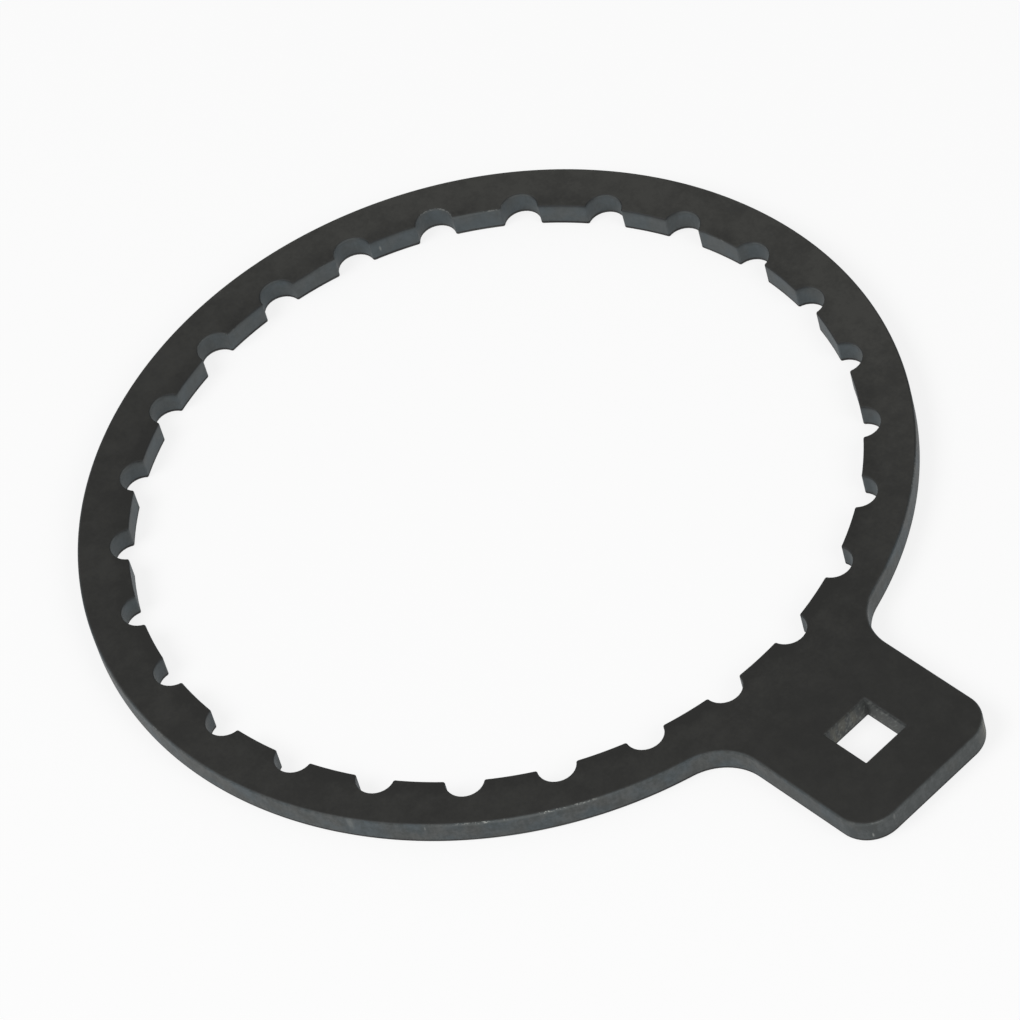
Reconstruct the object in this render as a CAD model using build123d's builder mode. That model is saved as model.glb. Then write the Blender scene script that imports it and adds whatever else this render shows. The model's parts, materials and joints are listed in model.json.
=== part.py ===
"""Filter housing wrench, in millimetres.

One flat steel plate, cut to shape: a ring with round-bottomed notches along its
inner edge, which fit over the ribs of a screwed filter housing, and a short tab
with a square hole for the drive of a ratchet or breaker bar.

The plate lies flat on Z = 0. The origin is the centre of the ring, on the
plate's underside, and the tab points along +X.
"""
import os

from build123d import *

os.makedirs("parts", exist_ok=True)

# Plate, with its arrises worn round by tumbling
plate_thickness = 6.35
arris_radius = 0.6
grip_chamfer = 0.45

# Ring, with its grip measured across the lands between the notches
grip_diameter = 175.2
ring_width = 12.4

# Notches along the ring's inner edge, their depth measured from the lands
notch_count = 26
notch_radius = 4.55
notch_depth = 4.35

# Tab, its length measured from the ring's outer edge
tab_width = 42.5
tab_length = 42.6
tab_corner_radius = 8.4
neck_radius = 13.0

# Square drive hole, its margin measured from the tab's end to the hole's centre
drive_square = 12.8
drive_margin = 21.1

# Places that follow from the sizes above, as distances from the ring's centre
grip_radius = grip_diameter / 2
ring_radius = grip_radius + ring_width
notch_centre_radius = grip_radius + notch_depth - notch_radius
tab_end = ring_radius + tab_length
drive_centre = tab_end - drive_margin

# A land, not a notch, stands on the line through the tab
first_notch_angle = 180 / notch_count


def is_on_ring(vertex):
    """Tell whether a corner of the outline lies on the ring's outer circle."""
    return abs(vertex.center().length - ring_radius) < 1e-3


with BuildPart() as wrench_plate:
    # Outline of the plate: the ring's disc, with the tab running out of it
    with BuildSketch() as outline:
        Circle(ring_radius)
        Rectangle(tab_end, tab_width, align=(Align.MIN, Align.CENTER))
        tab_corners = outline.vertices().group_by(Axis.X)[-1]
        fillet(tab_corners, tab_corner_radius)
        neck_corners = outline.vertices().filter_by(is_on_ring)
        fillet(neck_corners, neck_radius)
    extrude(amount=plate_thickness)

    # Grip: the bore across the lands, with a notch between each land and the next
    with BuildSketch() as grip:
        Circle(grip_radius)
        with PolarLocations(notch_centre_radius, notch_count, start_angle=first_notch_angle):
            Circle(notch_radius)
    extrude(amount=plate_thickness, mode=Mode.SUBTRACT)

    # Square drive hole in the tab, its sides along the tab's
    with BuildSketch() as drive_hole:
        with Locations((drive_centre, 0)):
            Rectangle(drive_square, drive_square)
    extrude(amount=plate_thickness, mode=Mode.SUBTRACT)

    # Tumbled edges: the outline and the drive hole are rounded on both faces
    rounded_edges = ShapeList()
    for face in wrench_plate.faces().filter_by(Axis.Z):
        drive_rim = face.inner_wires().sort_by(SortBy.LENGTH)[0]
        rounded_edges += face.outer_wire().edges() + drive_rim.edges()
    fillet(rounded_edges, arris_radius)

    # The grip's many short edges are broken by a chamfer instead
    grip_edges = ShapeList()
    for face in wrench_plate.faces().filter_by(Axis.Z):
        grip_rim = face.inner_wires().sort_by(SortBy.LENGTH)[-1]
        grip_edges += grip_rim.edges()
    chamfer(grip_edges, grip_chamfer)

wrench_plate.part.label = "wrench_plate"
export_step(wrench_plate.part, "parts/wrench_plate.step")
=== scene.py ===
"""Filter housing wrench, dressed: one flat blackened steel plate.

The plate is drawn again from its sizes, with its arrises worn round, and takes
the place of the plain solid. All lengths are in metres.
"""
import json
import math

import bmesh
import bpy
from mathutils import Matrix, Vector

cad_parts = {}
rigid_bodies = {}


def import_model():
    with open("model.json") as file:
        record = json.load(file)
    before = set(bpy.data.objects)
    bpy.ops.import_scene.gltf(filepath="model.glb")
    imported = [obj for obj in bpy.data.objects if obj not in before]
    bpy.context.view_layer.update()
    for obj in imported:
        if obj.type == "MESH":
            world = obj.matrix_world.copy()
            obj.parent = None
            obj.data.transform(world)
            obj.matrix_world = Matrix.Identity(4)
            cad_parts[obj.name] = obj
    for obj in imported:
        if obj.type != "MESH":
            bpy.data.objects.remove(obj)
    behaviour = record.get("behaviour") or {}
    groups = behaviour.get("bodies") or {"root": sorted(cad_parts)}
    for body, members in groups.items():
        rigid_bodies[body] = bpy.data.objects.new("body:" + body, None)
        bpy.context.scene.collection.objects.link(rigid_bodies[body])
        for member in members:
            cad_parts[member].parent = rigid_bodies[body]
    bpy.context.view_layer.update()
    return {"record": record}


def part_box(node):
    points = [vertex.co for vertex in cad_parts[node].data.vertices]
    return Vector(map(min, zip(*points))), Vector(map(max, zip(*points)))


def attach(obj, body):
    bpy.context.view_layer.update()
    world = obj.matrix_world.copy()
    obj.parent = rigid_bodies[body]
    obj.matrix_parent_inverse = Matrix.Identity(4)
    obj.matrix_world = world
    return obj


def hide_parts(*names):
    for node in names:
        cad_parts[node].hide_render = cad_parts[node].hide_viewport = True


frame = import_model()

MM = 0.001

# The plate's outer sizes and the drive hole's place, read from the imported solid. The drawn ring
# keeps a hair inside the solid's box.
PLATE_NODE = "wrench_plate"
DRIVE_MOUNT = "square_drive"
BOX_MARGIN = 0.002 * MM
plate_low, plate_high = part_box(PLATE_NODE)
thickness = plate_high.z - plate_low.z
ring_radius = -plate_low.x - BOX_MARGIN
tab_end = plate_high.x
mount_places = {mount["name"]: mount["pos_m"] for mount in frame["record"]["mounts"]}
drive_centre = mount_places[DRIVE_MOUNT][0]

# Ring, notches, tab and drive hole
GRIP_RADIUS = 87.6 * MM
NOTCH_COUNT = 26
NOTCH_RADIUS = 4.55 * MM
NOTCH_DEPTH = 4.35 * MM
TAB_HALF_WIDTH = 21.25 * MM
TAB_CORNER_RADIUS = 8.4 * MM
NECK_RADIUS = 13.0 * MM
DRIVE_SQUARE = 12.8 * MM
ring_middle = (GRIP_RADIUS + NOTCH_DEPTH + ring_radius) / 2

# Worn edges: the arrises of both faces, and the upright corners of the lands and the drive hole
ARRIS_RADIUS = 0.6 * MM
GRIP_ARRIS_RADIUS = 0.4 * MM
ARRIS_STEPS = 4
LAND_CORNER_RADIUS = 0.45 * MM
DRIVE_CORNER_RADIUS = 0.15 * MM
CORNER_STEPS = 4

# Steps of the drawn arcs
RING_STEPS = 170
TAB_CORNER_STEPS = 20
NECK_STEPS = 16
NOTCH_STEPS = 16
HALF_LAND_STEPS = 3

# Points closer than this are welded into one
WELD_DISTANCE = 0.01 * MM

# A face is flat where its normal points up or down by at least this much
FLAT_NORMAL = 0.999

# Lines of an outline that meet at less than this make a sharp corner
SHARP_CORNER = math.radians(120)

# Faces that turn by less than this are shaded as one surface
SMOOTH_ANGLE = math.radians(40)


# Drawing an outline with the edit mode's own tools

def deselect_all():
    """Deselect every object, so that an operator acts on one piece alone."""
    bpy.ops.object.select_all(action="DESELECT")


def edit_mode(piece):
    """Work on one piece alone in edit mode."""
    deselect_all()
    piece.select_set(True)
    bpy.context.view_layer.objects.active = piece
    bpy.ops.object.mode_set(mode="EDIT")


def object_mode():
    """Leave edit mode."""
    bpy.ops.object.mode_set(mode="OBJECT")


def pen_down(x, y):
    """Put one selected vertex at a point of the plan, in a new piece if none is being drawn."""
    bpy.ops.mesh.primitive_plane_add(size=MM, location=(x, y, 0))
    if bpy.context.mode == "OBJECT":
        bpy.ops.object.transform_apply(location=True)
        edit_mode(bpy.context.object)
        bpy.ops.mesh.select_all(action="SELECT")
    bpy.ops.mesh.merge(type="CENTER")


def draw_line(dx, dy):
    """Run a straight stretch from the selected vertex."""
    bpy.ops.mesh.extrude_region_move(TRANSFORM_OT_translate={"value": (dx, dy, 0)})


def draw_arc(centre, angle, steps):
    """Swing the selected vertex about a centre, anticlockwise where the angle is positive."""
    bpy.ops.mesh.spin(steps=steps, angle=angle, center=(*centre, 0), axis=(0, 0, -1))


def polar(radius, angle):
    """A point of the plan by its radius and its angle from the tab."""
    return radius * math.cos(angle), radius * math.sin(angle)


def draw_outline():
    """Draw half of the outer outline, from the tab's end round to the far side, and mirror it."""
    neck_x = math.sqrt((ring_radius + NECK_RADIUS) ** 2 - (TAB_HALF_WIDTH + NECK_RADIUS) ** 2)
    neck_y = TAB_HALF_WIDTH + NECK_RADIUS
    neck_angle = math.atan2(neck_y, neck_x)
    corner_x = tab_end - TAB_CORNER_RADIUS
    corner_y = TAB_HALF_WIDTH - TAB_CORNER_RADIUS
    pen_down(tab_end, 0)
    draw_line(0, corner_y)
    draw_arc((corner_x, corner_y), math.pi / 2, TAB_CORNER_STEPS)
    draw_line(neck_x - corner_x, 0)
    draw_arc((neck_x, neck_y), neck_angle - math.pi / 2, NECK_STEPS)
    draw_arc((0, 0), math.pi - neck_angle, RING_STEPS)
    object_mode()
    plate = bpy.context.object
    mirror = plate.modifiers.new("other_half", "MIRROR")
    mirror.use_axis = (False, True, False)
    mirror.merge_threshold = WELD_DISTANCE
    bpy.ops.object.modifier_apply(modifier=mirror.name)
    return plate


def draw_grip():
    """Draw one pitch of the grip, a half land, a notch and a half land, and turn it round the ring."""
    pitch = 2 * math.pi / NOTCH_COUNT
    notch_centre_radius = GRIP_RADIUS + NOTCH_DEPTH - NOTCH_RADIUS
    mouth = math.acos(
        (GRIP_RADIUS**2 + notch_centre_radius**2 - NOTCH_RADIUS**2)
        / (2 * GRIP_RADIUS * notch_centre_radius)
    )
    corner_x, corner_y = polar(GRIP_RADIUS, mouth)
    notch_sweep = 2 * math.atan2(corner_y, corner_x - notch_centre_radius)
    half_land = pitch / 2 - mouth
    pen_down(GRIP_RADIUS, 0)
    draw_arc((0, 0), half_land, HALF_LAND_STEPS)
    draw_arc(polar(notch_centre_radius, pitch / 2), notch_sweep, NOTCH_STEPS)
    draw_arc((0, 0), half_land, HALF_LAND_STEPS)
    bpy.ops.mesh.select_linked()
    bpy.ops.mesh.spin(
        steps=NOTCH_COUNT, angle=2 * math.pi, center=(0, 0, 0), axis=(0, 0, -1), dupli=True
    )


def draw_drive_hole():
    """Draw the square of the drive hole."""
    bpy.ops.mesh.primitive_plane_add(size=DRIVE_SQUARE, location=(drive_centre, 0, 0))
    bpy.ops.mesh.delete(type="ONLY_FACE")


# Picking corners, edges and faces by their place

def pick(piece, parts, test):
    """Select the "verts", "edges" or "faces" of the piece in edit mode that pass the test alone."""
    mesh = bmesh.from_edit_mesh(piece.data)
    for part in (*mesh.verts, *mesh.edges, *mesh.faces):
        part.select = False
    for part in getattr(mesh, parts):
        part.select_set(test(part))
    bmesh.update_edit_mesh(piece.data)


def is_flat(face):
    """Tell whether a face belongs to the upper face or the underside."""
    return abs(face.normal.z) > FLAT_NORMAL


def is_rim(edge):
    """Tell whether an edge runs between a flat face and a wall."""
    return sum(is_flat(face) for face in edge.link_faces) == 1


def is_grip_rim(edge):
    """Tell whether a rim belongs to the grip."""
    return is_rim(edge) and all(vertex.co.xy.length < ring_middle for vertex in edge.verts)


def is_other_rim(edge):
    """Tell whether a rim belongs to the outline or the drive hole."""
    return is_rim(edge) and not is_grip_rim(edge)


def is_land_corner(vertex):
    """Tell whether a land meets a notch at a vertex of the drawn outline."""
    first, second = (edge.other_vert(vertex).co - vertex.co for edge in vertex.link_edges)
    on_lands = abs(vertex.co.xy.length - GRIP_RADIUS) < WELD_DISTANCE
    return on_lands and first.angle(second) < SHARP_CORNER


def is_drive_corner(vertex):
    """Tell whether a vertex of the drawn outline is a corner of the drive hole."""
    return (vertex.co.xy - Vector((drive_centre, 0))).length < DRIVE_SQUARE


def is_open_at(height):
    """Make the test for the open edges of the face at one height."""
    def is_open(edge):
        at_height = all(abs(vertex.co.z - height) < WELD_DISTANCE for vertex in edge.verts)
        return edge.is_boundary and at_height
    return is_open


def round_corners(piece):
    """Round the corners of the drawn grip and drive hole."""
    for test, radius in ((is_land_corner, LAND_CORNER_RADIUS), (is_drive_corner, DRIVE_CORNER_RADIUS)):
        pick(piece, "verts", test)
        bpy.ops.mesh.bevel(affect="VERTICES", offset=radius, segments=CORNER_STEPS)


def round_arrises(piece):
    """Round the arrises of both faces, those of the grip by less."""
    edit_mode(piece)
    bpy.ops.mesh.select_mode(type="EDGE")
    for test, radius in ((is_grip_rim, GRIP_ARRIS_RADIUS), (is_other_rim, ARRIS_RADIUS)):
        pick(piece, "edges", test)
        bpy.ops.mesh.bevel(offset=radius, segments=ARRIS_STEPS, loop_slide=False)
    object_mode()


def refill_faces(piece):
    """Fill both flat faces anew, clear of the rounded arrises."""
    edit_mode(piece)
    bpy.ops.mesh.select_mode(type="FACE")
    pick(piece, "faces", is_flat)
    bpy.ops.mesh.delete(type="FACE")
    bpy.ops.mesh.select_mode(type="EDGE")
    for height in (0, thickness):
        pick(piece, "edges", is_open_at(height))
        bpy.ops.mesh.fill(use_beauty=True)
    bpy.ops.mesh.select_all(action="SELECT")
    bpy.ops.mesh.normals_make_consistent(inside=False)
    object_mode()


def smooth_shade(piece):
    """Shade the rounded arrises smoothly, and keep the flat faces flat."""
    deselect_all()
    piece.select_set(True)
    bpy.context.view_layer.objects.active = piece
    bpy.ops.object.shade_smooth_by_angle(angle=SMOOTH_ANGLE)
    weighted = piece.modifiers.new("face_normals", "WEIGHTED_NORMAL")
    weighted.keep_sharp = True
    bpy.ops.object.modifier_apply(modifier=weighted.name)


def make_plate():
    """Draw the plate's outlines, fill and raise them, and wear its edges round."""
    deselect_all()
    plate = draw_outline()
    plate.name = plate.data.name = "blackened_plate"
    edit_mode(plate)
    bpy.ops.mesh.select_mode(type="VERT")
    draw_grip()
    draw_drive_hole()
    bpy.ops.mesh.select_all(action="SELECT")
    bpy.ops.mesh.remove_doubles(threshold=WELD_DISTANCE)
    round_corners(plate)
    bpy.ops.mesh.select_all(action="SELECT")
    bpy.ops.mesh.fill(use_beauty=True)
    bpy.ops.mesh.select_all(action="SELECT")
    bpy.ops.mesh.extrude_region_move(TRANSFORM_OT_translate={"value": (0, 0, thickness)})
    bpy.ops.mesh.select_all(action="SELECT")
    bpy.ops.mesh.normals_make_consistent(inside=False)
    object_mode()
    round_arrises(plate)
    refill_faces(plate)
    smooth_shade(plate)
    return plate


# Materials, their maths written as expressions on sockets

class Value:
    """A socket's value, with the arithmetic of Math nodes."""

    def __init__(self, shader, socket):
        self.shader = shader
        self.socket = socket

    def _math(self, operation, *inputs):
        return self.shader.node("ShaderNodeMath", {"operation": operation}, inputs)

    def __add__(self, other):
        return self._math("ADD", self, other)

    def __sub__(self, other):
        return self._math("SUBTRACT", self, other)

    def __rsub__(self, other):
        return self._math("SUBTRACT", other, self)

    def __mul__(self, other):
        return self._math("MULTIPLY", self, other)

    def lesser(self, other):
        return self._math("MINIMUM", self, other)

    def greater(self, other):
        return self._math("MAXIMUM", self, other)

    __radd__ = __add__
    __rmul__ = __mul__


class Shader:
    """A material and the nodes that make its finish."""

    def __init__(self, name):
        self.material = bpy.data.materials.new(name)
        self.material.use_nodes = True
        self.tree = self.material.node_tree
        self.tree.nodes.clear()

    def node(self, kind, settings=None, inputs=(), output=0):
        """Add a node: its settings first, then its inputs, by place or by name. Returns one output."""
        node = self.tree.nodes.new(kind)
        for key, value in (settings or {}).items():
            setattr(node, key, value)
        pairs = inputs.items() if isinstance(inputs, dict) else enumerate(inputs)
        for key, value in pairs:
            socket = node.inputs[key]
            if isinstance(value, Value):
                self.tree.links.new(value.socket, socket)
            else:
                socket.default_value = value
        return Value(self, node.outputs[output]) if node.outputs else None

    def noise(self, place, scale, detail, roughness=0.5):
        """Noise on the object's own coordinates, scaled per metre along X, Y and Z."""
        stretched = self.node(
            "ShaderNodeVectorMath", {"operation": "MULTIPLY"}, {0: place, 1: scale}
        )
        return self.node(
            "ShaderNodeTexNoise",
            inputs={"Vector": stretched, "Scale": 1.0, "Detail": detail, "Roughness": roughness},
        )

    def split(self, vector):
        """Split a vector into its three parts."""
        first_part = self.node("ShaderNodeSeparateXYZ", inputs=(vector,))
        return [Value(self, output) for output in first_part.socket.node.outputs]

    def ramp(self, value, start, end, shape="SMOOTHSTEP"):
        """Map a value to 0 at start and to 1 at end, and hold it there beyond them."""
        settings = {"interpolation_type": shape}
        return self.node("ShaderNodeMapRange", settings, {0: value, 1: start, 2: end})

    def spread(self, pattern):
        """Stretch a mix of noises, which keeps to the middle, over 0 to 1."""
        return self.ramp(pattern, 0.36, 0.64)

    def mix(self, factor, first, second):
        """Mix two colours, which a Mix node takes at its sockets 6 and 7."""
        settings = {"data_type": "RGBA"}
        return self.node("ShaderNodeMix", settings, {0: factor, 6: first, 7: second}, 2)

    def distance(self, place, centre):
        """How far the place is from a centre, in metres."""
        return self.node("ShaderNodeVectorMath", {"operation": "DISTANCE"}, {0: place, 1: centre}, 1)


def grey(red, green, blue):
    """A colour from its values as a screen shows them, 0 to 255."""
    def linear(level):
        level = level / 255
        return level / 12.92 if level <= 0.04045 else ((level + 0.055) / 1.055) ** 2.4
    return linear(red), linear(green), linear(blue), 1.0


# Colours of the faces and the arrises, whose black is partly scale and partly painted shade
FACE_DARK = grey(29, 29, 27)
FACE_PALE = grey(54, 54, 51)
SCALE_AND_SHADE_BLACK = grey(14, 14, 13)

# Colours of the cut walls, of the painted highlight on a corner of the tab, and of their scuffed places
BLUISH_DARK = grey(58, 65, 67)
BLUISH_LIGHT = grey(76, 84, 88)
OLIVE_DARK = grey(61, 64, 63)
OLIVE_LIGHT = grey(82, 84, 83)
CORNER_HIGHLIGHT_COLOUR = grey(116, 115, 103)
SCUFF_PALE = grey(150, 152, 148)

# Colours that lie over the walls of the drive hole
DRIVE_WARM_COLOUR = grey(100, 99, 90)
DRIVE_STAIN_COLOUR = grey(58, 62, 66)
DRIVE_STREAK_COLOUR = grey(120, 123, 119)

# Colours of the rubbed edges; the band's colour also paints a highlight below the arrises at the notch
# bottoms
RUBBED_BAND_AND_HIGHLIGHT = grey(92, 96, 95)
BRIGHT_FLECK = grey(172, 174, 169)

# Patterns of the finish, in features per metre along X, Y and Z
CLOUDS = (45, 45, 45)
BLOTCHES = (230, 230, 230)
GRAIN = (1100, 1100, 1100)
CUT_STREAKS = (1300, 1300, 90)
WALL_HUES = (150, 150, 150)
WALL_PATCHES = (420, 420, 360)
SCALE_WAVER = (260, 260, 260)
FLECKS = (1700, 1700, 1700)
FLECK_RUNS = (190, 190, 190)
DRIVE_TINTS = (450, 450, 200)
DRIVE_STAINS = (500, 500, 200)
DRIVE_STREAKS = (1200, 1200, 130)

# Turn of the streaks that drive squares have left on the walls of the drive hole
DRIVE_STREAK_SLANT = (math.radians(15), math.radians(-38), 0)

# How far the black scale reaches down the walls, how much further it reaches as painted shade below the
# arrises of the grip, the drive hole and the ring's far side, and how much less in the drive hole
SCALE_REACH = 0.55 * MM
PAINTED_SHADE_REACH = 1.35 * MM
DRIVE_SHORTFALL = 0.6 * MM

# Depths below either face over which marks fade in, from the first value to the second: the black
# of the arrises, and the top and the foot of the rubbed band and of the line of flecks
ARRIS_FADE = (0.005 * MM, 0.08 * MM)
BAND_TOP = (0.06 * MM, 0.25 * MM)
BAND_FOOT = (0.85 * MM, 0.4 * MM)
LINE_TOP = (0.05 * MM, 0.12 * MM)
LINE_FOOT = (0.45 * MM, 0.3 * MM)

# Heights over which the painted shade along the foot of the walls, a dark line under the lower arris,
# fades in, and how much it wavers
WALL_FOOT_SHADE = (1.05 * MM, 0.75 * MM)
WALL_FOOT_SHADE_WAVER = 0.2 * MM

# Direction across the ring, towards its far side, along which the faces are painted paler as painted
# light and the walls take painted shade below the arrises
ACROSS_X = -0.34
ACROSS_Y = 0.94

# Places where handling has rubbed the edges: by angle round the rim or the grip, or as a point
# of the tab in millimetres, each with its reach in millimetres and its strength
RUBBED_RIM = ((-40, 20, 1.0), (-64, 3, 0.7), (-97, 9, 0.4), (37, 10, 0.5), (150, 12, 0.5), (215, 8, 0.6))
RUBBED_GRIP = ((97, 7, 0.5), (140, 12, 0.65), (162, 6, 0.5), (186, 8, 0.5), (262, 9, 0.5), (318, 8, 0.5))
RUBBED_TAB = ((139.8, -17.6, 6, 0.5), (141.9, 16.4, 5, 0.6), (126.5, 21.2, 7, 0.5))

# The rubbing fades out at this many times a place's reach
RUB_SPREAD = 1.6

# Short pale marks on the walls: x, y and height in millimetres, half their width and their strength
SCUFFS = (
    (140.6, -18.3, 2.2, 0.35, 0.7),
    (142.6, -13.0, 4.9, 0.5, 0.3),
    (44.6, -89.5, 5.1, 1.3, 0.25),
    (59.8, -80.2, 5.0, 0.3, 0.5),
    (-79.2, 37.4, 3.3, 0.4, 0.5),
    (-61.0, 79.2, 3.6, 0.4, 0.5),
    (121.0, 21.25, 3.0, 0.4, 0.5),
)

# Width of a scuff as a share of its height
SCUFF_SHAPE = 0.35

# Part of the tab's corner that is painted pale and warm as a highlight, from its edge to its middle
CORNER_HIGHLIGHT_PLACE = Vector((141.4 * MM, 17.2 * MM, 3.6 * MM))
CORNER_HIGHLIGHT_FADE = (3.5 * MM, 1 * MM)

# Gloss and relief of the whole plate
ROUGHNESS = 0.56
GLOSS = 0.4
RELIEF_STRENGTH = 0.25
RELIEF_DEPTH = 0.05 * MM


def rubbed_places():
    """Gather the rubbed places as points of the plan, each with its reach and its strength."""
    rim = [(*polar(ring_radius, math.radians(angle)), *rest) for angle, *rest in RUBBED_RIM]
    grip = [(*polar(GRIP_RADIUS, math.radians(angle)), *rest) for angle, *rest in RUBBED_GRIP]
    tab = [(x * MM, y * MM, *rest) for x, y, *rest in RUBBED_TAB]
    return rim + grip + tab


def rubbing(shader, place):
    """How far the edges are rubbed: most at the middle of a rubbed place, 0 away from them."""
    total = 0.0
    for x, y, reach, strength in rubbed_places():
        distance = shader.distance(place, (x, y, thickness / 2))
        total = shader.ramp(distance, RUB_SPREAD * reach * MM, 0.0) * strength + total
    return total.lesser(1.0)


def within(shader, place, centre, reach):
    """Tell what lies within reach of a centre, 1, from what lies beyond, 0."""
    return shader.ramp(shader.distance(place, centre), reach + MM, reach - MM)


def inside_grip(shader, place):
    """Tell the walls of the grip, 1, from all others, 0."""
    return within(shader, place, (0, 0, thickness / 2), ring_middle)


def inside_drive(shader, place):
    """Tell the walls of the drive hole, 1, from all others, 0."""
    return within(shader, place, (drive_centre, 0, thickness / 2), DRIVE_SQUARE)


def notch_bottom_highlights(shader, place, in_grip):
    """Tell the bottoms of the notches, 1, which take a painted highlight below the arris, from their
    sides, 0.
    """
    radius = shader.distance(place, (0, 0, thickness / 2))
    bottoms = shader.ramp(radius, GRIP_RADIUS + 0.6 * NOTCH_DEPTH, GRIP_RADIUS + 0.95 * NOTCH_DEPTH)
    return bottoms * in_grip


def scuffed(shader, place):
    """Tell the scuffs, up to 1, each a short mark that stands upright on its wall."""
    squeeze = (1, 1, SCUFF_SHAPE)
    squeezed = shader.node("ShaderNodeVectorMath", {"operation": "MULTIPLY"}, {0: place, 1: squeeze})
    total = 0.0
    for x, y, height, half_width, strength in SCUFFS:
        centre = (x * MM, y * MM, height * SCUFF_SHAPE * MM)
        distance = shader.distance(squeezed, centre)
        total = shader.ramp(distance, half_width * MM, 0.0) * strength + total
    return total.lesser(1.0)


def face_colour(shader, place, across, grain):
    """Near-black scale with faint clouds, finer blotches and a grain, paler across the ring as painted
    light, darker on the tab as painted shade, and darker towards the grip.
    """
    clouds = shader.noise(place, CLOUDS, 3.0)
    blotches = shader.noise(place, BLOTCHES, 4.0, 0.65)
    tone = shader.spread(clouds * 0.35 + blotches * 0.4 + grain * 0.25)
    # Painted light: the faces grow paler towards the ring's far side
    painted_light = shader.ramp(across, -20 * MM, 90 * MM)
    radius = shader.distance(place, (0, 0, thickness))
    lands = shader.ramp(radius, GRIP_RADIUS + 1.2 * NOTCH_DEPTH, GRIP_RADIUS + 0.3 * NOTCH_DEPTH)
    # Painted shade: the faces are darker on the tab, where the mottling is also fainter
    on_tab = shader.ramp(radius, ring_radius, ring_radius + 0.4 * NECK_RADIUS)
    mottling = (tone - 0.5) * (0.44 + painted_light * 0.3 - on_tab * 0.14)
    level = mottling + painted_light * 0.62 + 0.23 - lands * 0.25 - on_tab * 0.07
    return shader.mix(level, FACE_DARK, FACE_PALE)


def wall_colour(shader, place, streaks, grain, in_grip, in_drive):
    """Grey cut steel, bluish or olive in patches, evener in the grip and darker on the tab, with a
    painted highlight on a corner of the tab and pale scuffs.
    """
    x, _, _ = shader.split(place)
    on_tab = shader.ramp(x, ring_radius, ring_radius + NECK_RADIUS)
    on_tab_end = shader.ramp(x, tab_end - 2 * TAB_CORNER_RADIUS, tab_end)
    hue = shader.ramp(shader.noise(place, WALL_HUES, 2.0), 0.35, 0.65) * (1 - in_grip * 0.4)
    hue = hue.greater(in_drive * 0.8).greater(on_tab_end * 0.7)
    patches = shader.noise(place, WALL_PATCHES, 4.0, 0.65)
    tone = shader.spread(streaks * 0.15 + patches * 0.45 + grain * 0.4)
    tone = tone * (1 - in_grip * 0.5) + in_grip * 0.25
    dark = shader.mix(hue, BLUISH_DARK, OLIVE_DARK)
    light = shader.mix(hue, BLUISH_LIGHT, OLIVE_LIGHT)
    colour = shader.mix(tone - on_tab * 0.3, dark, light)
    # Painted highlight on the tab's rounded corner, pale and warm, in streaks
    corner_highlight = shader.ramp(shader.distance(place, CORNER_HIGHLIGHT_PLACE), *CORNER_HIGHLIGHT_FADE)
    corner_highlight = corner_highlight * (0.15 + shader.ramp(streaks, 0.44, 0.6) * 0.6)
    colour = shader.mix(corner_highlight, colour, CORNER_HIGHLIGHT_COLOUR)
    return shader.mix(scuffed(shader, place) * (0.5 + grain), colour, SCUFF_PALE)


def drive_wear(shader, place, in_drive, colour):
    """Lay a warm tint, stains and slanted pale streaks over the walls of the drive hole."""
    _, y, height = shader.split(place)

    # The tint is strongest low down, and fades towards the wall on the +Y side
    low = shader.ramp(height, 4.5 * MM, 1.5 * MM)
    from_side = 0.2 + shader.ramp(y, 0.45 * DRIVE_SQUARE, 0.15 * DRIVE_SQUARE) * 1.1
    warm = shader.ramp(shader.noise(place, DRIVE_TINTS, 3.0), 0.38, 0.62) * (0.45 + low * 0.55)
    colour = shader.mix(warm * from_side * in_drive, colour, DRIVE_WARM_COLOUR)

    slanted = shader.node("ShaderNodeMapping", inputs={"Vector": place, "Rotation": DRIVE_STREAK_SLANT})
    stains = shader.ramp(shader.noise(slanted, DRIVE_STAINS, 3.0), 0.58, 0.7)
    colour = shader.mix(stains * in_drive * 0.5, colour, DRIVE_STAIN_COLOUR)
    pale = shader.ramp(shader.noise(slanted, DRIVE_STREAKS, 2.0), 0.5, 0.68)
    return shader.mix(pale * in_drive * 0.6, colour, DRIVE_STREAK_COLOUR)


def scale_and_foot_shade(shader, height, edge_depth, waver, reach):
    """Tell the black scale, with the painted shade along the foot of the walls, 1, from bare steel, 0:
    the scale thins out down to its reach.
    """
    thinning = shader.ramp(edge_depth, reach, 0.0, "LINEAR")
    # Painted shade: a dark line along the foot of every wall
    foot_shade = shader.ramp(height + waver * WALL_FOOT_SHADE_WAVER, *WALL_FOOT_SHADE)
    return (thinning * thinning * thinning).greater(foot_shade)


def edge_wear(shader, place, depth, edge_depth, rubbed, in_grip, colour):
    """Lay a pale band below the rubbed arrises, and as a painted highlight below the arrises at the
    notch bottoms, with bright flecks in a line along the rubbed band.
    """
    band = shader.ramp(depth, *BAND_TOP) * shader.ramp(edge_depth, *BAND_FOOT)
    # Painted highlight: the band also lies below the arrises at the bottom of every notch
    worn_and_highlit = rubbed.greater(notch_bottom_highlights(shader, place, in_grip) * 0.6)
    colour = shader.mix(band * worn_and_highlit * 0.65, colour, RUBBED_BAND_AND_HIGHLIGHT)
    line = shader.ramp(depth, *LINE_TOP) * shader.ramp(edge_depth, *LINE_FOOT)
    runs = shader.ramp(shader.noise(place, FLECK_RUNS, 2.0), 0.44, 0.54)
    flecks = shader.ramp(shader.noise(place, FLECKS, 2.0, 0.6), 0.48, 0.62) * runs
    return shader.mix(line * rubbed * rubbed * flecks, colour, BRIGHT_FLECK)


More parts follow.
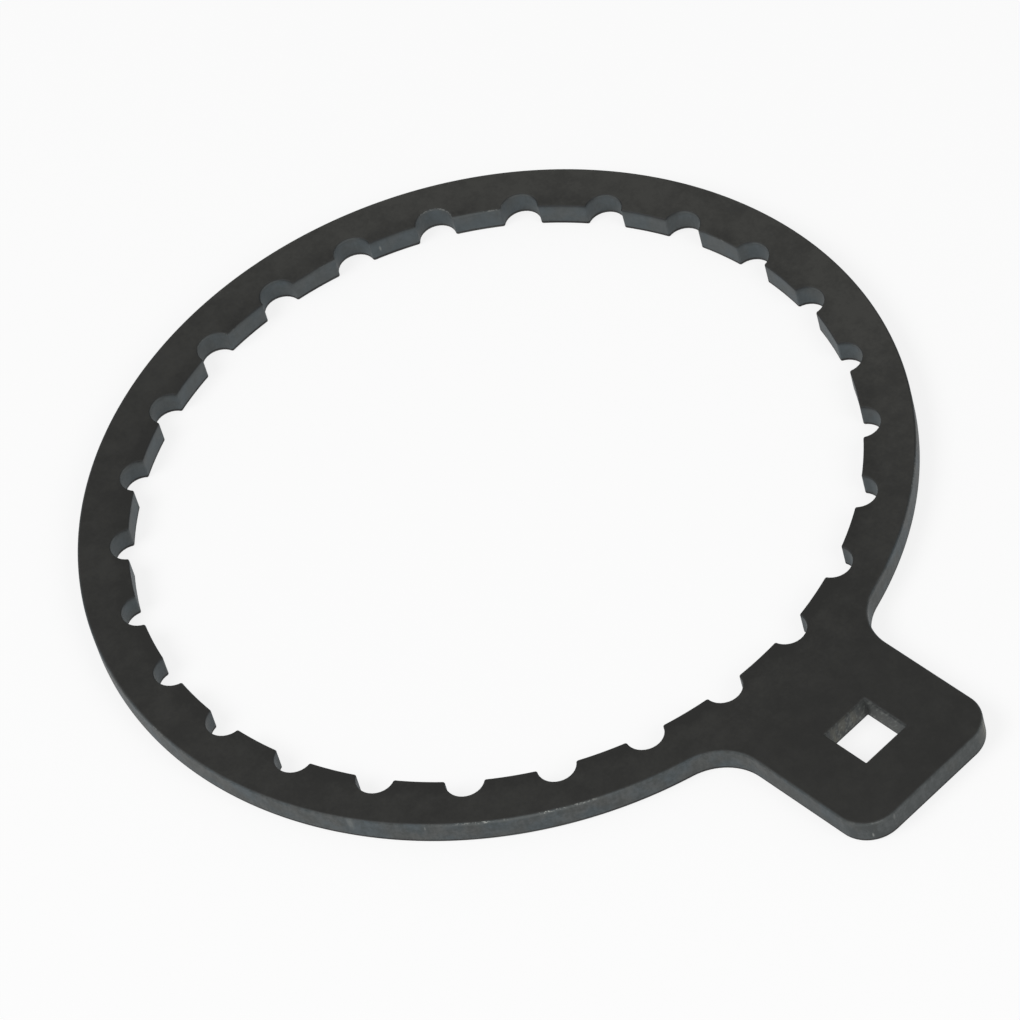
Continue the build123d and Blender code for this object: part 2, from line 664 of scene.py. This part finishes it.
def blackened_steel():
    """Black oxide on laser-cut plate: near-black faces and arrises, grey cut walls, rubbed edges."""
    shader = Shader("blackened_steel_finish")
    place = shader.node("ShaderNodeTexCoord", output="Object")
    x, y, height = shader.split(place)
    across = y * ACROSS_Y + x * ACROSS_X
    grain = shader.noise(place, GRAIN, 3.0, 0.6)
    streaks = shader.noise(place, CUT_STREAKS, 3.0)
    waver = shader.noise(place, SCALE_WAVER, 2.0) - 0.5
    rubbed = rubbing(shader, place)
    in_grip = inside_grip(shader, place)
    in_drive = inside_drive(shader, place)

    # Depth below the nearer face, even, and with a waver for what wears unevenly
    depth = height.lesser(thickness - height)
    edge_depth = depth * (1 + waver)

    # The black scale wraps round the arrises and thins out down the walls, soonest on the outline's near
    # side and where the edges are rubbed. In the grip, in the drive hole and on the outline's far side
    # it reaches further down as painted shade below the arrises, in the drive hole by less
    painted_shade_walls = shader.ramp(across, 0.0, 50 * MM).greater(in_grip.greater(in_drive))
    reach = SCALE_REACH + painted_shade_walls * (1 - rubbed) * PAINTED_SHADE_REACH - in_drive * DRIVE_SHORTFALL
    # This mask also carries the painted shade along the foot of the walls
    scale = scale_and_foot_shade(shader, height, edge_depth, waver, reach)

    # The black is darkest on the arrises and on the scale down the walls: partly thick scale, partly
    # painted shade of the rounded arrises
    arris = shader.ramp(depth, *ARRIS_FADE) * (1 - rubbed * 0.6)
    black = shader.mix(arris, face_colour(shader, place, across, grain), SCALE_AND_SHADE_BLACK)

    colour = wall_colour(shader, place, streaks, grain, in_grip, in_drive)
    colour = drive_wear(shader, place, in_drive, colour)
    colour = shader.mix(scale, colour, black)
    colour = edge_wear(shader, place, depth, edge_depth, rubbed, in_grip, colour)
    relief = shader.node(
        "ShaderNodeBump",
        inputs={
            "Strength": RELIEF_STRENGTH,
            "Distance": RELIEF_DEPTH,
            "Height": streaks * (1 - scale) + grain * 0.3,
        },
    )
    finish = shader.node(
        "ShaderNodeBsdfPrincipled",
        inputs={
            "Base Color": colour,
            "Roughness": ROUGHNESS + grain * 0.1,
            "Normal": relief,
            "Specular IOR Level": GLOSS,
        },
    )
    shader.node("ShaderNodeOutputMaterial", inputs={"Surface": finish})
    return shader.material


# Stage: a white floor, soft lamps and the photograph's camera

VIEW_AZIMUTH = math.radians(58.38)
VIEW_ELEVATION = math.radians(48.20)
VIEW_ROLL = math.radians(-16.84)
VIEW_DISTANCE = 1501.3 * MM
VIEW_TARGET = Vector((6.9 * MM, -1.8 * MM, 3.2 * MM))
LENS = 226.85
SENSOR = 36.0
NEAREST = 0.01
FURTHEST = 20.0
FLOOR_SIZE = 6.0
FLOOR_GAP = 0.02 * MM
FLOOR_COLOUR = (0.9, 0.9, 0.9, 1)
FLOOR_GLOW = 0.8
WHITE = (1, 1, 1, 1)
WORLD_STRENGTH = 0.42


def aimed(location, target, roll=0.0):
    """Place something at a location so that it looks at the target."""
    look = (target - location).to_track_quat("-Z", "Y").to_matrix().to_4x4()
    return Matrix.Translation(location) @ look @ Matrix.Rotation(roll, 4, "Z")


def add_camera():
    """Look at the plate from where the photograph was taken."""
    data = bpy.data.cameras.new("camera")
    data.lens = LENS
    data.sensor_width = SENSOR
    data.clip_start = NEAREST
    data.clip_end = FURTHEST
    camera = bpy.data.objects.new("camera", data)
    bpy.context.scene.collection.objects.link(camera)
    out = Vector((
        math.sin(VIEW_AZIMUTH) * math.cos(VIEW_ELEVATION),
        -math.cos(VIEW_AZIMUTH) * math.cos(VIEW_ELEVATION),
        math.sin(VIEW_ELEVATION),
    ))
    camera.matrix_world = aimed(VIEW_TARGET + out * VIEW_DISTANCE, VIEW_TARGET, VIEW_ROLL)
    bpy.context.scene.camera = camera


def add_lamp(name, location, size, power):
    """Hang a round soft lamp that shines at the middle of the ring."""
    data = bpy.data.lights.new(name, "AREA")
    data.shape = "DISK"
    data.size = size
    data.energy = power
    lamp = bpy.data.objects.new(name, data)
    bpy.context.scene.collection.objects.link(lamp)
    lamp.matrix_world = aimed(Vector(location), Vector((0, 0, 0)))


def add_floor():
    """A white floor that shows as white, and still takes a faint shadow."""
    deselect_all()
    bpy.ops.mesh.primitive_plane_add(size=FLOOR_SIZE, location=(0, 0, -FLOOR_GAP))
    floor = bpy.context.object
    floor.name = "floor"
    shader = Shader("white_floor")
    paper = shader.node("ShaderNodeBsdfDiffuse", inputs={"Color": FLOOR_COLOUR})
    glow = shader.node("ShaderNodeEmission", inputs={"Color": WHITE, "Strength": 1.0})
    seen = shader.node("ShaderNodeLightPath", output="Is Camera Ray")
    mirrored = shader.node("ShaderNodeLightPath", output="Is Glossy Ray")
    glowing = (seen + mirrored) * FLOOR_GLOW
    surface = shader.node("ShaderNodeMixShader", inputs={0: glowing, 1: paper, 2: glow})
    shader.node("ShaderNodeOutputMaterial", inputs={"Surface": surface})
    floor.data.materials.append(shader.material)


def set_world():
    """Surround the plate with an even white light."""
    world = bpy.data.worlds.new("studio")
    world.use_nodes = True
    background = world.node_tree.nodes["Background"]
    background.inputs["Color"].default_value = WHITE
    background.inputs["Strength"].default_value = WORLD_STRENGTH
    bpy.context.scene.world = world


plate = make_plate()
plate.data.materials.clear()
plate.data.materials.append(blackened_steel())
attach(plate, "root")
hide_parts(PLATE_NODE)

add_floor()
set_world()
add_lamp("key_lamp", location=(-0.35, -1.3, 1.5), size=1.2, power=19.5)
add_lamp("fill_lamp", location=(1.3, 0.15, 1.1), size=1.0, power=8.4)
add_camera()
bpy.context.scene.view_settings.view_transform = "Standard"
